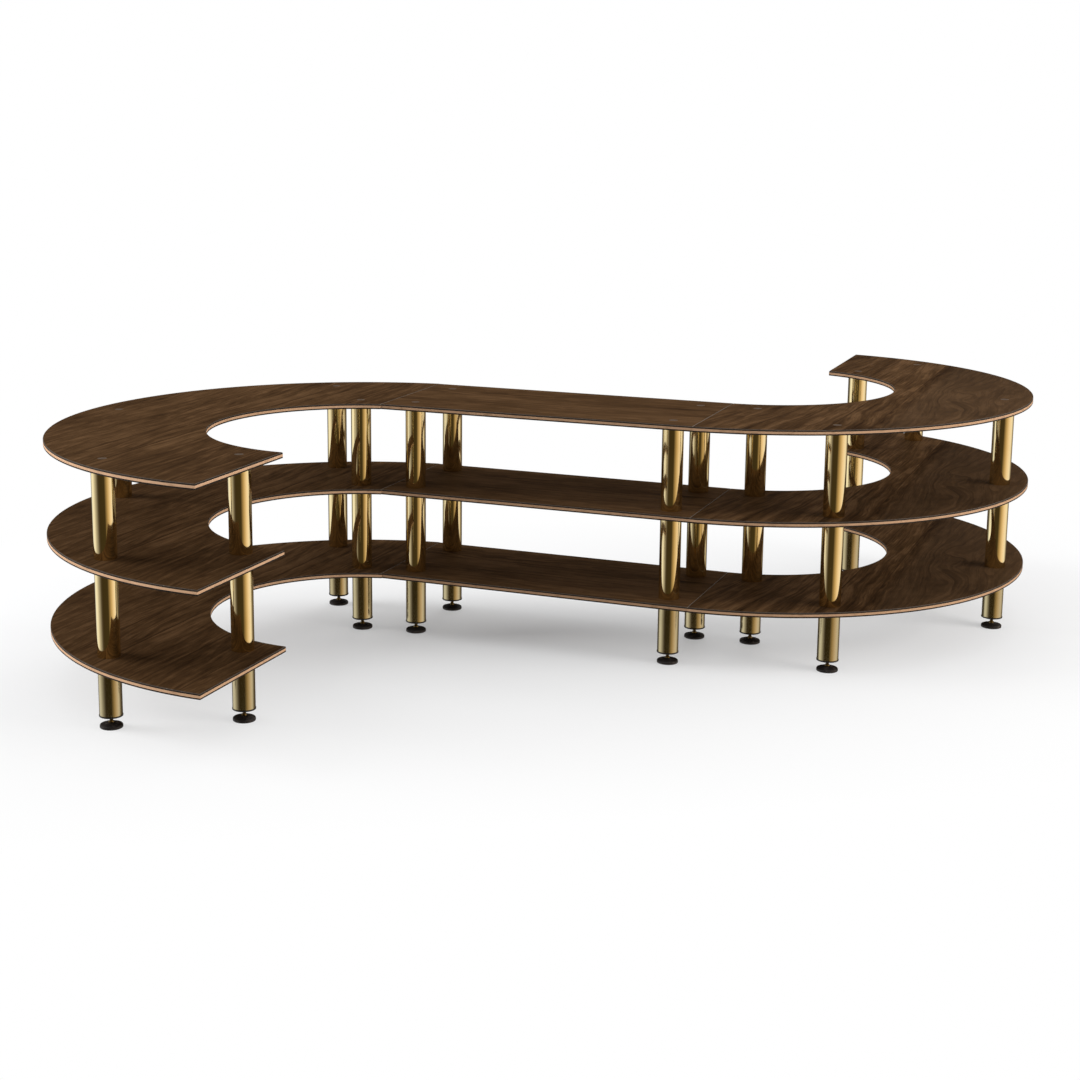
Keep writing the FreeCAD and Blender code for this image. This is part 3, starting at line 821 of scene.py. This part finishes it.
polished_brass = tube_brass("polished_brass_tube", BRASS, BRASS_DULL, POLISHED_ROUGHNESS, POLISHED_SPREAD)
for module in LEGS:
    for tier in ("lower", "upper"):
        node = f"{module}_{tier}_posts"
        low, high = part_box(node)
        post_radius = radius_round(node, axes_of(module))
        post_bore = post_radius - TUBE_WALL
        post_profile = eased([
            (ROD_HOLE_RADIUS, low.z, 0),
            (post_radius, low.z, TUBE_EASE),
            (post_radius, high.z, TUBE_EASE),
            (ROD_HOLE_RADIUS, high.z, 0),
            (ROD_HOLE_RADIUS, high.z - POST_PLATE, 0),
            (post_bore, high.z - POST_PLATE, 0),
            (post_bore, low.z + POST_PLATE, 0),
            (ROD_HOLE_RADIUS, low.z + POST_PLATE, 0),
        ])
        posts = turned(f"{module}_{tier}_post_tubes", post_profile, axes_of(module), polished_brass,
                       TUBE_STEPS)
        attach(posts, "station")
        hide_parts(node)


# Tie rods: long zinc-plated studs inside the posts, which pull each stack of leg, shelves and posts together.
# They screw into the leg's plate below and the cap nut above, and nothing of them shows.

ZINC = (0.55, 0.56, 0.57, 1)
ZINC_DULL = (0.36, 0.37, 0.38, 1)
ZINC_ROUGHNESS, ZINC_SPREAD = 0.30, 0.25
ZINC_RANGE = (0.40, 0.70)
ZINC_PATCHES = ((180, 180, 60), 4.0)


def zinc_plate():
    """Zinc plating: cool grey with soft crystalline patches."""
    material, shader, place = finish_of("zinc_plate", Metallic=1.0)
    patches = stretched_noise(place, *ZINC_PATCHES)
    feed(shader, "Base Color", blended(stepped(patches, *ZINC_RANGE), ZINC, ZINC_DULL))
    feed(shader, "Roughness", ZINC_ROUGHNESS + ZINC_SPREAD * patches)
    return material


rod_zinc = zinc_plate()
for module in LEGS:
    dressed(f"{module}_tie_rods", rod_zinc)


# Cap nuts: blind nuts with a flat head, let in flush with the top shelf to close each tie rod.
# Their dull bronze paint is a little paler than the walnut round them.

BRONZE = (0.080, 0.055, 0.038, 1)
BRONZE_WORN = (0.122, 0.090, 0.068, 1)
BRONZE_GLOSS = 0.03
BRONZE_ROUGHNESS, BRONZE_SPREAD = 0.36, 0.22
WEAR_RANGE = (0.38, 0.70)
PAINT_DEPTH = 0.04 * MILLIMETRE
WEAR_PATCHES = ((130, 130, 130), 4.0)
PAINT_GRAIN = ((1200, 1200, 1200), 1.0)


def bronze_paint():
    """Bronze paint, half matt, worn paler in patches."""
    material, shader, place = finish_of("bronze_paint", Specular_IOR_Level=BRONZE_GLOSS)
    patches = stretched_noise(place, *WEAR_PATCHES)
    grain = stretched_noise(place, *PAINT_GRAIN)
    feed(shader, "Base Color", blended(stepped(patches, *WEAR_RANGE), BRONZE, BRONZE_WORN))
    feed(shader, "Roughness", BRONZE_ROUGHNESS + BRONZE_SPREAD * patches)
    feed(shader, "Normal", raised(grain, PAINT_DEPTH))
    return material


nut_paint = bronze_paint()
for module in LEGS:
    dressed(f"{module}_cap_nuts", nut_paint)


# Seam dowels: beech pins across the two seams, two at each seam on each tier, which keep the tops level.
# They lie wholly inside the boards.

BEECH = (0.55, 0.36, 0.22, 1)
BEECH_FLECK = (0.36, 0.21, 0.12, 1)
BEECH_GLOSS = 0.3
BEECH_ROUGHNESS, BEECH_SPREAD = 0.55, 0.2
BEECH_RANGE = (0.48, 0.70)
BEECH_FLECKS = ((160, 900, 900), 3.0)


def beech():
    """Beech: pale brown with short darker flecks along the pin."""
    material, shader, place = finish_of("beech_pin", Specular_IOR_Level=BEECH_GLOSS)
    flecks = stretched_noise(place, *BEECH_FLECKS)
    feed(shader, "Base Color", blended(stepped(flecks, *BEECH_RANGE), BEECH, BEECH_FLECK))
    feed(shader, "Roughness", BEECH_ROUGHNESS + BEECH_SPREAD * flecks)
    return material


dressed("seam_dowels", beech())


# Studio floor: a wide pale sheet under the station, which takes its soft shadow.
# It fades into the white background a few metres away, and the metal sees the background past it.

FLOOR_REACH = 14.0
GLOW_CENTRE = (-0.13, -0.03, 0)
GLOW_TURN = math.radians(33.2)
GLOW_STRETCH = 3.7
GLOW_START = 0.18
GLOW_RISE = 0.58
GLOW_POWER = 0.87
FLOOR_PALE = (0.845, 0.854, 0.867, 1)
FLOOR_WHITE = (0.863, 0.872, 0.885, 1)
FLOOR_ROUGHNESS = 0.9
PAPER = ((6, 6, 1), 2.0)
WHITE = (1, 1, 1, 1)


def measured_along(place, way):
    """Distance of a place along a direction: their dot product."""
    return place.node("ShaderNodeVectorMath", {"operation": "DOT_PRODUCT"}, {0: place, 1: way}, "Value")


def pale_floor():
    """Pale matt floor that glows plain white to the camera, a painted light. Its share of plain white grows
    with a power of the distance from under the station, on ovals that are longer from side to side of the
    picture, so the floor's shadow and the grey round the station fade with distance."""
    material, shader, place = finish_of("pale_floor", Roughness=FLOOR_ROUGHNESS, Specular_IOR_Level=0.0)
    paper = stretched_noise(place, *PAPER)
    feed(shader, "Base Color", blended(paper, FLOOR_PALE, FLOOR_WHITE))
    across = (math.cos(GLOW_TURN) / GLOW_STRETCH, math.sin(GLOW_TURN) / GLOW_STRETCH, 0)
    ahead = (math.sin(GLOW_TURN), -math.cos(GLOW_TURN), 0)
    from_centre = place.node("ShaderNodeVectorMath", {"operation": "SUBTRACT"}, {0: place, 1: GLOW_CENTRE})
    sideways, near = [measured_along(from_centre, way) for way in (across, ahead)]
    apart = (sideways * sideways + near * near) ** 0.5
    # Painted light: the camera sees this share of white glow in place of the lit floor, which lightens the
    # shadow away from the station.
    share = apart.math("MINIMUM", GLOW_START + GLOW_RISE * apart ** GLOW_POWER, 1)
    seen = place.node("ShaderNodeLightPath", output="Is Camera Ray")
    white = place.node("ShaderNodeEmission", None, {"Color": WHITE, "Strength": 1.0})
    lit = Shade(place.tree, shader.outputs["BSDF"])
    mixed = place.node("ShaderNodeMixShader", None, {0: seen * share, 1: lit, 2: white})
    feed(place.tree.nodes["Material Output"], "Surface", mixed)
    return material


floor_corners = np.array([(-1, -1, 0), (1, -1, 0), (1, 1, 0), (-1, 1, 0)]) * FLOOR_REACH
floor = shown_piece("studio_floor", floor_corners, np.array([[0, 1, 2, 3]]), [pale_floor()])
floor.visible_glossy = False


# Camera: it stands in front and to the right of the station at eye height, as the photograph was taken.
# Its focal length and place come from the straight and curved edges of the shelves.

PICTURE = 1080
FOCAL_PIXELS = 1864.7
EYE = Vector((1.8075, -5.0784, 1.5806))
YAW = math.radians(-23.757)
PITCH = math.radians(11.193)
OPTICAL_CENTRE = (434.1, 466.1)
SENSOR = 36.0

lens = bpy.data.cameras.new("view")
lens.sensor_width = SENSOR
lens.lens = FOCAL_PIXELS / PICTURE * SENSOR
lens.shift_x = (PICTURE / 2 - OPTICAL_CENTRE[0]) / PICTURE
lens.shift_y = (OPTICAL_CENTRE[1] - PICTURE / 2) / PICTURE
camera = bpy.data.objects.new("view", lens)
camera.location = EYE
camera.rotation_euler = (math.pi / 2 - PITCH, 0, -YAW)
bpy.context.scene.collection.objects.link(camera)
bpy.context.scene.camera = camera


# Studio screen: a ring of dark, white and warm cloth round the station, which only the metal sees.
# It gives the tubes a dark band towards the camera, a white one to its left and a warm one to its right.

SCREEN_RADIUS = 7.0
SCREEN_LOW, SCREEN_HIGH = -5.0, 5.0
SCREEN_STEPS = 180
SCREEN_STOPS = [
    (0.00, (0.08, 0.07, 0.06, 1)),
    (0.13, (0.12, 0.11, 0.10, 1)),
    (0.18, (1.00, 1.00, 1.00, 1)),
    (0.25, (1.00, 0.98, 0.96, 1)),
    (0.30, (0.55, 0.52, 0.49, 1)),
    (0.37, (0.09, 0.07, 0.05, 1)),
    (0.40, (0.05, 0.036, 0.016, 1)),
    (0.52, (0.055, 0.040, 0.016, 1)),
    (0.60, (0.58, 0.41, 0.21, 1)),
    (0.68, (0.98, 0.79, 0.62, 1)),
    (0.76, (1.00, 0.93, 0.88, 1)),
    (0.81, (0.45, 0.38, 0.30, 1)),
    (0.86, (0.14, 0.11, 0.09, 1)),
    (1.00, (0.08, 0.07, 0.06, 1)),
]


def screen_cloth():
    """Plain glow whose colour depends on the bearing round the station, from 0 to 1 and with 0.5 towards
    the camera."""
    material = bpy.data.materials.new("studio_screen")
    material.use_nodes = True
    tree = material.node_tree
    tree.nodes.clear()
    place = Shade(tree).node("ShaderNodeTexCoord", output="Object")
    ahead = measured_along(place, (-math.sin(YAW), -math.cos(YAW), 0))
    aside = measured_along(place, (math.cos(YAW), -math.sin(YAW), 0))
    bearing = aside.math("ARCTAN2", aside, ahead) / (2 * math.pi) + 0.5
    colour = bearing.node("ShaderNodeValToRGB", {"stops": SCREEN_STOPS}, {"Fac": bearing})
    glow = colour.node("ShaderNodeEmission", None, {"Color": colour, "Strength": 1.0})
    feed(tree.nodes.new("ShaderNodeOutputMaterial"), "Surface", glow)
    return material


turn = np.linspace(0, 2 * np.pi, SCREEN_STEPS, endpoint=False)
circle = SCREEN_RADIUS * np.stack([np.cos(turn), np.sin(turn)], -1)
screen_points = np.concatenate([at_height(circle, SCREEN_LOW), at_height(circle, SCREEN_HIGH)])
screen_faces = grid_faces(2, SCREEN_STEPS, wrap_rows=False)
screen = shown_piece("studio_screen", screen_points, screen_faces, [screen_cloth()])
screen.visible_camera = False
screen.visible_diffuse = False
screen.visible_shadow = False
screen.visible_transmission = False
screen.visible_volume_scatter = False


# Lamps: a wide softbox overhead, a smaller warm one to the right, and low white ones to the left and behind.
# The world adds even light, and is plain white to the camera and to the metal.

TOP_BOX_SIZE = 4.5
TOP_BOX_PLACE = (0, 0, 4.2)
TOP_BOX_WATTS = 14
LEFT_BOX_SIZE = 4.0
LEFT_BOX_PLACE = (-7.0, -2.2, 2.4)
LEFT_BOX_WATTS = 540
SIDE_BOX_SIZE = 3.0
SIDE_BOX_PLACE = (5.2, 0.0, 1.6)
SIDE_BOX_WATTS = 204
SIDE_BOX_WARMTH = (1.0, 0.97, 0.94)
BACK_BOX_SIZE = 4.0
BACK_BOX_PLACE = (-0.5, 6.5, 2.0)
BACK_BOX_WATTS = 120
PLAIN_LIGHT = (1, 1, 1)
STATION_FLOOR = (0, 0, 0)
STATION_MIDDLE = (0, 0, 0.4)
WORLD_LIGHT = 0.60


def softbox(name, size, place, aim, watts, colour):
    """Square area lamp that faces a point."""
    light = bpy.data.lights.new(name, "AREA")
    light.size = size
    light.energy = watts
    light.color = colour
    lamp = bpy.data.objects.new(name, light)
    lamp.location = place
    lamp.rotation_euler = (Vector(aim) - Vector(place)).to_track_quat("-Z", "Y").to_euler()
    lamp.visible_glossy = False
    bpy.context.scene.collection.objects.link(lamp)


softbox("top_softbox", TOP_BOX_SIZE, TOP_BOX_PLACE, STATION_FLOOR, TOP_BOX_WATTS, PLAIN_LIGHT)
softbox("left_softbox", LEFT_BOX_SIZE, LEFT_BOX_PLACE, STATION_MIDDLE, LEFT_BOX_WATTS, PLAIN_LIGHT)
softbox("side_softbox", SIDE_BOX_SIZE, SIDE_BOX_PLACE, STATION_MIDDLE, SIDE_BOX_WATTS, SIDE_BOX_WARMTH)
softbox("back_softbox", BACK_BOX_SIZE, BACK_BOX_PLACE, STATION_MIDDLE, BACK_BOX_WATTS, PLAIN_LIGHT)

world = bpy.data.worlds.new("studio")
world.use_nodes = True
bpy.context.scene.world = world
surround = Shade(world.node_tree)
to_camera, to_metal, to_glass = [
    surround.node("ShaderNodeLightPath", output=f"Is {kind} Ray")
    for kind in ("Camera", "Glossy", "Transmission")]
seen = surround.math("MAXIMUM", surround.math("MAXIMUM", to_camera, to_metal), to_glass)
background = world.node_tree.nodes["Background"]
background.inputs["Color"].default_value = WHITE
feed(background, "Strength", WORLD_LIGHT + (1 - WORLD_LIGHT) * seen)

bpy.context.scene.view_settings.view_transform = "Standard"
